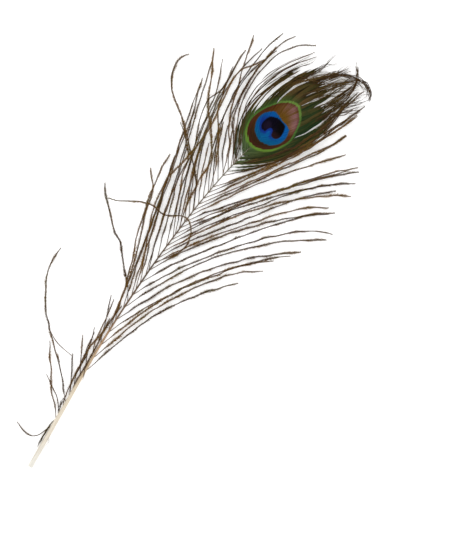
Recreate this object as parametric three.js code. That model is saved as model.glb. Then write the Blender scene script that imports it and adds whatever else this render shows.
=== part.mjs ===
// A peacock tail feather lying face up: a curved shaft, long loose barbs down both
// sides, the closed eye vane and the fringe of barb locks that crowns it.
// Millimetres. +Y runs from the cut end to the crown, +Z is up from the surface.
import * as THREE from 'three';

const gap = 0.3; // clear space kept between neighbouring pieces
const layerStep = 0.8; // height from one layer of barbs to the next
const camberHeight = 1.5; // how far the vane arches between the shaft and its edges
const camberReach = 50; // distance from the shaft where the arch meets the surface again
const barbWidth = 1.1;
const barbThickness = 0.5;
const barbSides = 5;
const bareRootShare = 0.4; // width of a bare barb root against the fuzzy part
const vaneThickness = 0.6;
const vaneLift = 1.15; // underside of the eye vane, just above the shaft

const shaftSides = 12;
const shaftSections = 34;
const flatCut = 0.7; // the shaft's section is cut level at this share of its lower half
const shaftRoute = [
  [-0.8, -1.5], [-2.9, 20], [-4.8, 40], [-6.8, 60], [-8.35, 80], [-9.45, 100], [-10, 120],
  [-10.2, 140], [-9.8, 160], [-9, 180], [-7.3, 200], [-5.2, 215], [-2.4, 231], [3, 258],
];
const shaftWidths = [
  [-2, 3], [20, 2.7], [40, 2.3], [55, 2], [70, 1.5], [85, 1.2], [100, 1], [180, 0.7], [258, 0.4],
];

// Each side is a row of evenly rooted barbs. Along the row, 0 at its lowest barb and 1
// at its highest, go the angle to the shaft, the length, the bend and the tip's curl.
const leftRow = {
  name: 'left_barb', side: -1, count: 14, firstY: 98, lastY: 212,
  leave: [[0, 18.5], [0.45, 22], [0.7, 33], [1, 46]],
  length: [[0, 104], [0.3, 118], [0.5, 108], [0.75, 104], [1, 94]],
  bend: [[0, -6], [0.45, -9], [0.7, -32], [0.85, -50], [1, -64]],
  curl: [[0, 6], [0.4, 10], [0.7, -4], [1, -28]],
};
const rightRow = {
  name: 'right_barb', side: 1, count: 18, firstY: 64, lastY: 212,
  leave: [[0, 19], [0.5, 23], [0.8, 28], [1, 40]],
  length: [[0, 108], [0.3, 120], [0.6, 108], [0.85, 96], [1, 92]],
  bend: [[0, 26], [0.4, 28], [0.7, 16], [0.85, -12], [1, -50]],
  curl: [[0, 14], [0.5, 10], [0.8, -6], [1, 20]],
};
const rowLayers = 4;

// Barbs that have strayed from their row. Each leaves the shaft at rootY on its side
// and runs through its points, layer steps above the surface.
const looseBarbs = [
  { name: 'loose_barb_base_hook', side: -1, rootY: 25, layer: 1, width: 0.8,
    points: [[-6.3, 20], [-8, 15.8], [-11, 13.6], [-16, 13.5], [-22, 15.2]] },
  { name: 'loose_barb_base_long', side: -1, rootY: 31, layer: 1, width: 0.9,
    points: [[-9, 35.5], [-14, 40], [-18, 44.5], [-22, 50.5], [-28, 57], [-34, 65]] },
  { name: 'loose_barb_base_short', side: -1, rootY: 34.5, layer: 2, width: 0.7,
    points: [[-11, 40.8], [-17, 44.3], [-24, 48]] },
  { name: 'loose_barb_low_curl', side: -1, rootY: 42, layer: 3, width: 1, settle: 1,
    points: [[-15, 51.5], [-25, 60.5], [-35, 69], [-45, 78], [-52, 87], [-57.5, 97], [-60, 105],
      [-60, 113]] },
  { name: 'loose_barb_elbow', side: -1, rootY: 111, layer: 4.2, width: 1,
    points: [[-14.5, 117], [-20, 122.5], [-27, 129.5], [-33, 136], [-40, 139.5], [-47, 146],
      [-55, 152.5], [-61, 159]] },
  { name: 'loose_barb_loop', side: 1, rootY: 139, layer: 8, width: 1, settle: 0.45,
    points: [[-4, 147], [-0.5, 155], [-2, 163], [-7, 168.5], [-13, 169], [-21, 164], [-30, 164.3],
      [-40, 160.5], [-48, 155], [-54, 153]] },
  { name: 'loose_barb_long_hook', side: -1, rootY: 176, layer: 6, width: 1.2, settle: 1,
    points: [[-15, 186.5], [-20, 193], [-27, 200], [-34, 206.5], [-40, 211.5], [-47, 217], [-54, 221.5],
      [-60, 226], [-64.5, 232], [-67, 239], [-66.5, 245], [-64, 249]] },
  { name: 'loose_barb_fork', side: -1, rootY: 157, layer: 5, width: 1,
    points: [[-16, 168], [-21, 178], [-26, 189], [-29.5, 199], [-35, 205.5], [-40, 210], [-45.5, 213.5]] },
  { name: 'loose_barb_sweep', side: -1, rootY: 163, layer: 4, width: 1.1,
    points: [[-14, 176], [-16.5, 190], [-16.8, 202], [-21, 211], [-28, 220], [-35, 227.5], [-41, 236],
      [-47, 248], [-54, 260]] },
  { name: 'loose_barb_outer_low', side: -1, rootY: 94, layer: 5, width: 1,
    points: [[-17, 122], [-24, 142], [-30.5, 157], [-33.5, 167], [-37, 174], [-44, 181.5]] },
  { name: 'loose_barb_outer_high', side: -1, rootY: 91, layer: 6, width: 1,
    points: [[-15, 114], [-21, 130], [-28, 147], [-32, 160], [-35.5, 173], [-38.5, 184], [-39, 195]] },
  { name: 'loose_barb_wavy', side: -1, rootY: 119.8, layer: 7, width: 1, settle: 0.3,
    points: [[-15.5, 134], [-23, 150], [-29, 165], [-32, 182], [-30, 196], [-29, 210], [-29, 222],
      [-31.5, 236], [-34, 250], [-33, 259], [-29, 265], [-26, 271]] },
  { name: 'short_barb_1', side: -1, rootY: 48, layer: 1, width: 0.8,
    points: [[-10, 53], [-14, 59.5], [-18.5, 66.5]] },
  { name: 'short_barb_2', side: -1, rootY: 59, layer: 2, width: 0.8,
    points: [[-12, 66], [-16, 73], [-20, 79]] },
  { name: 'short_barb_3', side: -1, rootY: 65, layer: 1, width: 0.8,
    points: [[-12, 73], [-14.5, 80], [-17, 86.5]] },
  { name: 'short_barb_4', side: -1, rootY: 82, layer: 1, width: 0.8,
    points: [[-13.5, 93], [-16.5, 100], [-20, 107.5]] },
];

// The closed vane around the eye, from the pointed tail at its foot up its right side.
const eyeOutline = [
  [-5.2, 214], [-0.5, 218], [4.5, 222.5], [9, 228.5], [12.8, 236], [15.4, 245], [16.5, 254], [16, 263],
  [14, 271], [10, 277.5], [4, 280], [-3, 278], [-9, 272.5], [-13, 264.5], [-15.5, 255], [-15.8, 246],
  [-14.5, 237], [-11.5, 229], [-8.4, 221],
];
const eyeOutlineSteps = 44;

// Locks of barbs around the vane's upper edge, left to right.
const crownLocks = [
  { width: 4, points: [[-10, 274.6], [-8.4, 284], [-4.5, 293]] },
  { width: 4.3, points: [[-5.2, 279], [-4, 288.5], [0, 296]] },
  { width: 4.5, points: [[-0.6, 281.6], [1, 291], [6, 301]] },
  { width: 4.5, points: [[4.4, 282.4], [6.4, 290.5], [11, 298]] },
  { width: 4.5, points: [[9.2, 280.8], [12.6, 290], [19, 301.5]] },
  { width: 4.5, points: [[12.9, 277.2], [17.6, 286], [24, 293.5], [31, 292.6], [37, 286.5]], tipLift: 1.6 },
  { width: 4.4, points: [[15.6, 271.8], [22, 281.2], [28.5, 289], [39.5, 294]] },
  { width: 4.2, points: [[17.2, 266.2], [24, 275.6], [32, 281.5], [42.5, 284]], tipLift: 2.4 },
  { width: 3.9, points: [[18.1, 260.6], [24.8, 268.3], [34, 276]] },
];

function smooth(share) {
  const clamped = THREE.MathUtils.clamp(share, 0, 1);
  return clamped * clamped * (3 - 2 * clamped);
}

// Value at one place between keys of the form [place, value].
function keyed(keys, place) {
  const next = keys.findIndex(([key]) => place < key);
  if (next === 0) return keys[0][1];
  if (next < 0) return keys[keys.length - 1][1];
  const [fromKey, from] = keys[next - 1];
  const [toKey, to] = keys[next];
  return THREE.MathUtils.lerp(from, to, smooth((place - fromKey) / (toKey - fromKey)));
}

// A repeatable unevenness from -1 to 1 for one barb and one of its qualities.
function uneven(index, quality) {
  const value = Math.sin(index * 12.9898 + quality * 78.233) * 43758.5453;
  return 2 * (value - Math.floor(value)) - 1;
}

function curveThrough(points) {
  const vectors = points.map(([x, y]) => new THREE.Vector3(x, y, 0));
  return new THREE.CatmullRomCurve3(vectors, false, 'catmullrom', 0.5);
}

const shaftCurve = curveThrough(shaftRoute);
const shaftPoints = shaftCurve.getPoints(240);

// Place and heading of the shaft where it passes a height along Y.
function shaftAt(y) {
  const above = shaftPoints.findIndex((point) => point.y >= y);
  const index = THREE.MathUtils.clamp(above < 0 ? shaftPoints.length : above, 1, shaftPoints.length - 1);
  const from = shaftPoints[index - 1];
  const to = shaftPoints[index];
  const share = THREE.MathUtils.clamp((y - from.y) / (to.y - from.y), 0, 1);
  return { x: THREE.MathUtils.lerp(from.x, to.x, share), heading: Math.atan2(to.x - from.x, to.y - from.y) };
}

function shaftWidthAt(y) {
  return keyed(shaftWidths, y);
}

// Where a barb starts, beside the shaft.
function rootPoint(side, y, rootWidth) {
  const { x, heading } = shaftAt(y);
  const reach = side * (shaftWidthAt(y) / 2 + gap + rootWidth / 2);
  return [x + reach * Math.cos(heading), y - reach * Math.sin(heading)];
}

// Height of the arched vane at a place on the surface.
function camberAt(point) {
  const share = Math.min(1, Math.abs(point.x - shaftAt(point.y).x) / camberReach);
  return camberHeight * 4 * share * (1 - share);
}

// Bends a unit cylinder along a route. The section's width, height and underside are
// functions of the share of the route's length.
function sweep(curve, sections, sides, section) {
  const geometry = new THREE.CylinderGeometry(1, 1, 1, sides, sections);
  const position = geometry.attributes.position;
  for (let index = 0; index < position.count; index += 1) {
    const share = THREE.MathUtils.clamp(position.getY(index) + 0.5, 0, 1);
    const centre = curve.getPointAt(share);
    const along = curve.getTangentAt(share);
    const { width, height, bottom, cut } = section(share, centre);
    const across = position.getX(index) * width / 2;
    const up = Math.max(position.getZ(index), -cut) + cut;
    const x = centre.x + across * along.y;
    const y = centre.y - across * along.x;
    position.setXYZ(index, x, y, bottom + up * height / 2);
  }
  geometry.computeVertexNormals();
  return geometry;
}

function solid(name, geometry, material) {
  const mesh = new THREE.Mesh(geometry, material);
  mesh.name = name;
  return mesh;
}

function hornMaterial() {
  return new THREE.MeshStandardMaterial({ color: 0xd9bd94, roughness: 0.42, metalness: 0 });
}

function herlMaterial() {
  return new THREE.MeshStandardMaterial({ color: 0x5c4a2a, roughness: 0.7, metalness: 0 });
}

function eyeMaterial() {
  return new THREE.MeshStandardMaterial({ color: 0x1f6f86, roughness: 0.4, metalness: 0 });
}

function crownMaterial() {
  return new THREE.MeshStandardMaterial({ color: 0x4a4426, roughness: 0.6, metalness: 0 });
}

// The shaft's lower side is level, so that it rests on it from end to end.
function makeShaft() {
  const geometry = sweep(shaftCurve, shaftSections, shaftSides, (share, centre) => {
    const width = shaftWidthAt(centre.y);
    return { width, height: width, bottom: 0, cut: flatCut };
  });
  return solid('shaft', geometry, hornMaterial());
}

// A barb leaves the shaft at its middle, rises to its own layer and thins to its tip.
function makeBarb(name, points, options, material) {
  const { rootY, layer, width, rise, settle, sections } = options;
  const curve = curveThrough(points);
  const length = curve.getLength();
  const shaftHeight = shaftWidthAt(rootY) * (1 + flatCut) / 2;
  const rootBottom = Math.max(0, (shaftHeight - barbThickness) / 2);
  const cut = Math.cos(Math.PI / barbSides);
  const geometry = sweep(curve, sections, barbSides, (share, centre) => {
    const fuzzy = smooth(share * length / 14);
    const taper = 1 - 0.65 * smooth((share - 0.55) / 0.45);
    const lift = (layer * layerStep + camberAt(centre)) * (1 - settle * smooth((share - 0.75) / 0.25));
    return {
      width: width * THREE.MathUtils.lerp(bareRootShare, 1, fuzzy) * taper,
      height: barbThickness * taper,
      bottom: THREE.MathUtils.lerp(rootBottom, lift, smooth(share * length / rise)),
      cut,
    };
  });
  return solid(name, geometry, material);
}

// Walks out from the shaft, turning a little at each step.
function rowBarbPoints(row, index) {
  const place = index / (row.count - 1);
  const rootY = THREE.MathUtils.lerp(row.firstY, row.lastY, place);
  const [startX, startY] = rootPoint(row.side, rootY, barbWidth * bareRootShare);
  const length = keyed(row.length, place) * (1 + 0.07 * uneven(index, 1));
  const leave = keyed(row.leave, place) + 2 * uneven(index, 2);
  const bend = keyed(row.bend, place) + 5 * uneven(index, 3);
  const curl = keyed(row.curl, place) + 10 * uneven(index, 4);
  const sway = 3.5 * uneven(index, 5);
  const steps = 12;
  const points = [[startX, startY]];
  let x = startX;
  let y = startY;
  for (let step = 0; step < steps; step += 1) {
    const share = (step + 0.5) / steps;
    const tip = Math.max(0, (share - 0.7) / 0.3);
    const turn = leave + bend * share + curl * tip * tip + sway * Math.sin(2 * Math.PI * share);
    const heading = shaftAt(rootY).heading + row.side * THREE.MathUtils.degToRad(turn);
    x += length / steps * Math.sin(heading);
    y += length / steps * Math.cos(heading);
    points.push([x, y]);
  }
  return { rootY, points };
}

function makeRow(row, material) {
  return Array.from({ length: row.count }, (_, index) => {
    const { rootY, points } = rowBarbPoints(row, index);
    const layer = index % rowLayers;
    const options = { rootY, layer, width: barbWidth, rise: 12, settle: 1 - layer / rowLayers, sections: 12 };
    return makeBarb(`${row.name}_${String(index + 1).padStart(2, '0')}`, points, options, material);
  });
}

function makeLooseBarbs(material) {
  return looseBarbs.map(({ name, side, rootY, layer, width, points, settle = 0.8 }) => {
    const route = [rootPoint(side, rootY, width * bareRootShare), ...points];
    const options = { rootY, layer, width, rise: 7, settle, sections: 2 * points.length + 2 };
    return makeBarb(name, route, options, material);
  });
}

function makeEye() {
  const outline = new THREE.CatmullRomCurve3(
    eyeOutline.map(([x, y]) => new THREE.Vector3(x, y, 0)), true, 'catmullrom', 0.5);
  const corners = outline.getPoints(eyeOutlineSteps).slice(0, -1).map(({ x, y }) => new THREE.Vector2(x, y));
  const bevel = 0.15;
  const shape = new THREE.Shape(corners);
  const geometry = new THREE.ExtrudeGeometry(shape, {
    depth: vaneThickness - 2 * bevel,
    bevelThickness: bevel,
    bevelSize: bevel,
    bevelOffset: -bevel,
    bevelSegments: 1,
  });
  geometry.translate(0, 0, vaneLift + bevel);
  return solid('eye', geometry, eyeMaterial());
}

// Each lock leaves the vane's edge at the vane's height and droops to the surface.
function makeCrown() {
  const material = crownMaterial();
  return crownLocks.map(({ width, points, tipLift = 0 }, index) => {
    const geometry = sweep(curveThrough(points), 9, barbSides, (share) => ({
      width: width * THREE.MathUtils.lerp(1, 0.14, smooth((share - 0.2) / 0.8)),
      height: THREE.MathUtils.lerp(vaneThickness, barbThickness / 2, share),
      bottom: THREE.MathUtils.lerp(vaneLift, tipLift, smooth(share)),
      cut: Math.cos(Math.PI / barbSides),
    }));
    return solid(`crown_lock_${index + 1}`, geometry, material);
  });
}

const feather = new THREE.Group();
feather.name = 'peacock_feather';
const herl = herlMaterial();
feather.add(makeShaft());
feather.add(...makeRow(leftRow, herl));
feather.add(...makeRow(rightRow, herl));
feather.add(...makeLooseBarbs(herl));
feather.add(makeEye());
feather.add(...makeCrown());

// The origin is under the middle of the whole feather, on the surface it lies on.
const box = new THREE.Box3().setFromObject(feather);
const middle = box.getCenter(new THREE.Vector3());
feather.children.forEach((mesh) => mesh.geometry.translate(-middle.x, -middle.y, -box.min.z));

export default feather;
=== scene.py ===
import math
import bpy
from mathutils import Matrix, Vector


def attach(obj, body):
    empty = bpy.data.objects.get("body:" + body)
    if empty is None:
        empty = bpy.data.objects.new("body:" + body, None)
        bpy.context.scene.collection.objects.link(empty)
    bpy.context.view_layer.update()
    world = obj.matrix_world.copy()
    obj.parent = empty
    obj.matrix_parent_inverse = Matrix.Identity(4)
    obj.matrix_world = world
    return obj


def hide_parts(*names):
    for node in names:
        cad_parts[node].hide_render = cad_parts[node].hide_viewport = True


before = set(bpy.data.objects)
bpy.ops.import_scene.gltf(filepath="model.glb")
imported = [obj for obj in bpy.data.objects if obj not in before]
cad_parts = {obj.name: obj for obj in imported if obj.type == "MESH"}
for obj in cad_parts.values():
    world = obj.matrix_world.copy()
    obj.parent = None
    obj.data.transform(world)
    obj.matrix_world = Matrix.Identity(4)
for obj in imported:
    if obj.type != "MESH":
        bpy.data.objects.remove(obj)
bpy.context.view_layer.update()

# the feather's own millimetres: y runs up from the cut end, x to the right of the shaft
mm = 0.001
featherMiddle = (-0.793, 150.0)


def inRow(x, y, z):
    # a place on the feather in the metres of the row that the solids stand in
    return Vector(((x - featherMiddle[0]) * mm, (y - featherMiddle[1]) * mm, z * mm))


def linear(value):
    return ((value + 0.055) / 1.055) ** 2.4 if value > 0.04 else value / 12.92


def tint(red, green, blue):
    # a colour as seen on screen, turned into the linear values that shaders take
    return (linear(red), linear(green), linear(blue), 1.0)


def smooth(share):
    clamped = min(1.0, max(0.0, share))
    return clamped * clamped * (3.0 - 2.0 * clamped)


def eased(value, low, high):
    # 0 at low, 1 at high and smooth from one to the other; low may be the higher of the two
    return smooth((value - low) / (high - low))


def mix(a, b, share):
    return a + (b - a) * share


def keyed(keys, place):
    if place < keys[0][0]:
        return keys[0][1]
    for (fromKey, fromValue), (toKey, toValue) in zip(keys, keys[1:]):
        if place < toKey:
            return mix(fromValue, toValue, eased(place, fromKey, toKey))
    return keys[-1][1]


def uneven(index, quality):
    # a fixed scatter from -1 to 1: each quality number gives the barbs its own series
    value = math.sin(index * 12.9898 + quality * 78.233) * 43758.5453
    return 2.0 * (value - math.floor(value)) - 1.0


def drift(index, quality, distance):
    # slow unevenness along one barb, about -1 to 1
    cell = math.floor(distance)
    share = smooth(distance - cell)
    return mix(uneven(index + cell * 0.37, quality), uneven(index + (cell + 1) * 0.37, quality), share)


def throughPoints(points, perSpan):
    # Catmull-Rom curve through flat points, the same one the solids follow
    first = [2 * a - b for a, b in zip(points[0], points[1])]
    last = [2 * a - b for a, b in zip(points[-1], points[-2])]
    padded = [first] + list(points) + [last]
    path = []
    for i in range(1, len(padded) - 2):
        before, start, end, after = padded[i - 1:i + 3]
        for step in range(perSpan):
            t = step / perSpan
            path.append(tuple(
                0.5 * (2 * s + (e - b) * t + (2 * b - 5 * s + 4 * e - a) * t ** 2
                       + (3 * s - b - 3 * e + a) * t ** 3)
                for b, s, e, a in zip(before, start, end, after)))
    path.append(tuple(points[-1]))
    return path


def evenly(path, spacing):
    # the same path with points at an even spacing, and each point's share of the length
    gone = [0.0]
    for a, b in zip(path, path[1:]):
        gone.append(gone[-1] + math.dist(a, b))
    count = max(2, round(gone[-1] / spacing))
    out = []
    at = 0
    for step in range(count + 1):
        goal = gone[-1] * step / count
        while at < len(path) - 2 and gone[at + 1] < goal:
            at += 1
        share = (goal - gone[at]) / max(1e-9, gone[at + 1] - gone[at])
        out.append((tuple(mix(a, b, share) for a, b in zip(path[at], path[at + 1])), step / count))
    return out, gone[-1]


# the shaft
shaft = {
    "route": [
        (-0.8, -1.5), (-2.9, 20), (-4.8, 40), (-6.8, 60), (-8.35, 80), (-9.45, 100), (-10, 120),
        (-10.2, 140), (-9.8, 160), (-9, 180), (-7.3, 200), (-5.2, 215), (-2.4, 231), (3, 258)],
    "widths": [
        (-2, 3), (20, 2.7), (40, 2.3), (55, 2), (70, 1.5), (85, 1.2), (100, 1), (180, 0.7), (258, 0.4)],
    "flatCut": 0.7,
    "stepMm": 1.2,
}
shaftPath = throughPoints(shaft["route"], 19)


def shaftAt(y):
    # the shaft's x and its heading from +y, at a height along it
    index = 1
    while index < len(shaftPath) - 1 and shaftPath[index][1] < y:
        index += 1
    (fromX, fromY), (toX, toY) = shaftPath[index - 1], shaftPath[index]
    share = min(1.0, max(0.0, (y - fromY) / (toY - fromY)))
    return mix(fromX, toX, share), math.atan2(toX - fromX, toY - fromY)


def shaftWidthAt(y):
    return keyed(shaft["widths"], y)


def shaftHeightAt(y):
    return shaftWidthAt(y) * (1 + shaft["flatCut"]) / 2


def rootPoint(side, y, rootWidth):
    x, heading = shaftAt(y)
    reach = side * (shaftWidthAt(y) / 2 + rootWidth / 2)
    return (x + reach * math.cos(heading), y - reach * math.sin(heading))


# the barbs: two rows, the strays and a few further barbs between them
herl = {
    "width": 1.1,
    "thickness": 0.5,
    "bareShare": 0.4,
    "layerStep": 0.8,
    "rowLayers": 4,
    "camberHeight": 1.5,
    "camberReach": 50,
    "stepMm": 1.4,
    # how far a root goes into the shaft: a share of the way to its middle, and back along it
    "sunk": 0.45,
    "sunkDown": 0.6,
    "lowest": 0.35,
    # the share of a barb from where it settles toward the surface
    "settleFrom": 0.75,
    "ramusHalf": 0.25,
    "ramusRoot": 0.85,
    "barbuleLength": 1.22,
    "barbuleRoot": 0.12,
    "barbuleFrom": 2,
    "barbuleWaver": (0.95, 0.5),
    "waverMm": 5,
    # metres between barbules, on the barbs and in the crown
    "spacing": 0.00011,
    "crownSpacing": 0.00018,
    # a barbule's slant off the ramus, its scatter, tilt and size
    "lean": 0.72,
    "scatter": 0.35,
    "tilt": (-0.12, 0.25),
    "sizes": (0.6, 1.2),
    "tipReach": 6,
    "tipThinning": 0.35,
    "wobble": 0.3,
    "wobbleMm": 6,
    "wobbleRise": 10,
    "toneMm": 16,
}
# what both rows share: how barbs differ, curl, cling to a neighbour and lift off the shaft
rowHabit = {
    "routeSteps": 12,
    "lengthScatter": 0.07,
    "leaveScatter": 2,
    "bendScatter": 5,
    "curlScatter": 10,
    "swayScatter": 3.5,
    "curlFrom": 0.7,
    "clingSpan": (0.1, 0.45),
    "partFrom": 0.75,
    "parted": 0.7,
    "betweenScatter": 0.2,
    "rise": 12,
    "bareMm": 10.0,
}
leftRow = {
    "side": -1, "count": 14, "firstY": 98, "lastY": 212, "fullness": 0.84,
    "cling": 0.36, "between": 0.38, "filled": (0.5, 1.0),
    "leave": [(0, 18.5), (0.45, 22), (0.7, 33), (1, 46)],
    "length": [(0, 104), (0.3, 118), (0.5, 108), (0.75, 104), (1, 94)],
    "bend": [(0, -6), (0.45, -9), (0.7, -32), (0.85, -50), (1, -64)],
    "curl": [(0, 6), (0.4, 10), (0.7, -4), (1, -28)],
}
rightRow = {
    "side": 1, "count": 18, "firstY": 64, "lastY": 212, "fullness": 1.04,
    "cling": 0.0, "between": 1.2, "filled": (0.45, 0.84),
    "leave": [(0, 19), (0.5, 23), (0.8, 28), (1, 40)],
    "length": [(0, 108), (0.3, 120), (0.6, 108), (0.85, 96), (1, 92)],
    "bend": [(0, 26), (0.4, 28), (0.7, 16), (0.85, -12), (1, -50)],
    "curl": [(0, 14), (0.5, 10), (0.8, -6), (1, 20)],
}
strays = [
    # side, root y, layer, width, settle, points
    (-1, 25, 1, 0.8, 0.8, [(-6.3, 20), (-8, 15.8), (-11, 13.6), (-16, 13.5), (-22, 15.2)]),
    (-1, 31, 1, 0.9, 0.8, [(-9, 35.5), (-14, 40), (-18, 44.5), (-22, 50.5), (-28, 57), (-34, 65)]),
    (-1, 34.5, 2, 0.7, 0.8, [(-11, 40.8), (-17, 44.3), (-24, 48)]),
    (-1, 42, 3, 1, 1, [
        (-15, 51.5), (-25, 60.5), (-35, 69), (-45, 78), (-52, 87), (-57.5, 97), (-60, 105), (-60, 113)]),
    (-1, 111, 4.2, 1, 0.8, [
        (-14.5, 117), (-20, 122.5), (-27, 129.5), (-33, 136), (-40, 139.5), (-47, 146), (-55, 152.5),
        (-61, 159)]),
    (1, 139, 8, 1, 0.45, [
        (-4, 147), (-0.5, 155), (-2, 163), (-7, 168.5), (-13, 169), (-21, 164), (-30, 164.3),
        (-40, 160.5), (-48, 155), (-54, 153)]),
    (-1, 176, 6, 1.2, 1, [
        (-15, 186.5), (-20, 193), (-27, 200), (-34, 206.5), (-40, 211.5), (-47, 217), (-54, 221.5),
        (-60, 226), (-64.5, 232), (-67, 239), (-66.5, 245), (-64, 249)]),
    (-1, 157, 5, 1, 0.8, [
        (-16, 168), (-21, 178), (-26, 189), (-29.5, 199), (-35, 205.5), (-40, 210), (-45.5, 213.5)]),
    (-1, 163, 4, 1.1, 0.8, [
        (-14, 176), (-16.5, 190), (-16.8, 202), (-21, 211), (-28, 220), (-35, 227.5), (-41, 236),
        (-47, 248), (-54, 260)]),
    (-1, 94, 5, 1, 0.8, [(-17, 122), (-24, 142), (-30.5, 157), (-33.5, 167), (-37, 174), (-44, 181.5)]),
    (-1, 91, 6, 1, 0.8, [
        (-15, 114), (-21, 130), (-28, 147), (-32, 160), (-35.5, 173), (-38.5, 184), (-39, 195)]),
    (-1, 119.8, 7, 1, 0.3, [
        (-15.5, 134), (-23, 150), (-29, 165), (-32, 182), (-30, 196), (-29, 210), (-29, 222),
        (-31.5, 236), (-34, 250), (-33, 259), (-29, 265), (-26, 271)]),
    (-1, 48, 1, 0.8, 0.8, [(-10, 53), (-14, 59.5), (-18.5, 66.5)]),
    (-1, 59, 2, 0.8, 0.8, [(-12, 66), (-16, 73), (-20, 79)]),
    (-1, 65, 1, 0.8, 0.8, [(-12, 73), (-14.5, 80), (-17, 86.5)]),
    (-1, 82, 1, 0.8, 0.8, [(-13.5, 93), (-16.5, 100), (-20, 107.5)]),
]


def camberAt(x, y):
    share = min(1.0, abs(x - shaftAt(y)[0]) / herl["camberReach"])
    return herl["camberHeight"] * 4 * share * (1 - share)


def herlStrand(index, route, rootY, layer, width, rise, settle, bare):
    # one barb as a strand of places with its ramus and barbule sizes, in metres
    points, length = evenly(throughPoints(route, 8), herl["stepMm"])
    (rootX, firstY), share = points[0]
    points[0] = ((mix(rootX, shaftAt(rootY)[0], herl["sunk"]), firstY - herl["sunkDown"]), share)
    strand = {name: [] for name in ("places", "halfWidth", "fuzzLeft", "fuzzRight", "along", "tone", "hue")}
    for (x, y), share in points:
        gone = share * length
        fuzzy = eased(gone, herl["barbuleFrom"], herl["barbuleFrom"] + bare)
        taper = 1 - herl["tipThinning"] * eased(gone, length - herl["tipReach"], length)
        settled = settle * eased(share, herl["settleFrom"], 1)
        lift = (layer * herl["layerStep"] + camberAt(x, y)) * (1 - settled)
        height = mix(shaftHeightAt(rootY) / 2, lift + herl["thickness"] / 2, eased(gone, 0, rise))
        reach = herl["barbuleLength"] * width * taper * mix(herl["barbuleRoot"], 1, fuzzy)
        wobble = herl["wobble"] * eased(gone, 0, herl["wobbleRise"])
        swayX, swayY = (wobble * drift(index, quality, gone / herl["wobbleMm"]) for quality in (15, 16))
        strand["places"].append(inRow(x + swayX, y + swayY, max(herl["lowest"], height)))
        strand["halfWidth"].append(herl["ramusHalf"] * mix(herl["ramusRoot"], 1, fuzzy) * taper * mm)
        for name, quality in (("fuzzLeft", 11), ("fuzzRight", 12)):
            usual, change = herl["barbuleWaver"]
            waver = usual + change * drift(index, quality, gone / herl["waverMm"])
            strand[name].append(reach * waver * mm)
        strand["along"].append(share)
        mottle = 0.2 * drift(index, 14, gone / herl["toneMm"])
        strand["tone"].append(0.5 + 0.3 * uneven(index, 13) + mottle)
        strand["hue"].append(0.0)
    return strand


def rowRootY(row, index):
    return mix(row["firstY"], row["lastY"], index / (row["count"] - 1))


def rowRoute(row, index):
    # where one barb of a row runs, before it clings to its neighbour
    place = index / (row["count"] - 1)
    rootY = rowRootY(row, index)
    length = keyed(row["length"], place) * (1 + rowHabit["lengthScatter"] * uneven(index, 1))
    leave = keyed(row["leave"], place) + rowHabit["leaveScatter"] * uneven(index, 2)
    bend = keyed(row["bend"], place) + rowHabit["bendScatter"] * uneven(index, 3)
    curl = keyed(row["curl"], place) + rowHabit["curlScatter"] * uneven(index, 4)
    sway = rowHabit["swayScatter"] * uneven(index, 5)
    steps = rowHabit["routeSteps"]
    x, y = rootPoint(row["side"], rootY, herl["width"] * herl["bareShare"])
    route = [(x, y)]
    for step in range(steps):
        share = (step + 0.5) / steps
        tip = max(0.0, (share - rowHabit["curlFrom"]) / (1 - rowHabit["curlFrom"]))
        turn = leave + bend * share + curl * tip * tip + sway * math.sin(2 * math.pi * share)
        heading = shaftAt(rootY)[1] + row["side"] * math.radians(turn)
        x += length / steps * math.sin(heading)
        y += length / steps * math.cos(heading)
        route.append((x, y))
    return route


def rowBarb(row, index):
    # barbs cling together two by two over the middle of their length
    route = rowRoute(row, index)
    mate = index + 1 if index % 2 == 0 else math.ceil(index) - 1
    beside = rowRoute(row, min(mate, row["count"] - 1))
    # a barb at a half number is a further one between two, and may be cut short
    whole = index % 1 == 0
    cut = row["between"] + rowHabit["betweenScatter"] * uneven(index, 6)
    clung = []
    for step, (point, other) in enumerate(zip(route, beside)):
        share = step / (len(route) - 1)
        parted = rowHabit["parted"] * eased(share, rowHabit["partFrom"], 1)
        cling = row["cling"] * eased(share, *rowHabit["clingSpan"]) * (1 - parted)
        if whole or share <= cut:
            clung.append((mix(point[0], other[0], cling), mix(point[1], other[1], cling)))
    layer = math.floor(index) % herl["rowLayers"] + (index % 1)
    settle = 1 - layer / herl["rowLayers"]
    return herlStrand(
        index, clung, rowRootY(row, index), layer, row["fullness"], rowHabit["rise"], settle,
        rowHabit["bareMm"])


def rowStrands(row):
    # the row's own barbs, and over its filled stretch a further barb between each two
    halves = [half / 2 for half in range(2 * row["count"] - 1)]
    fillFrom, fillTo = (share * row["count"] for share in row["filled"])
    return [rowBarb(row, at) for at in halves if at % 1 == 0 or fillFrom < at < fillTo]


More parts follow.
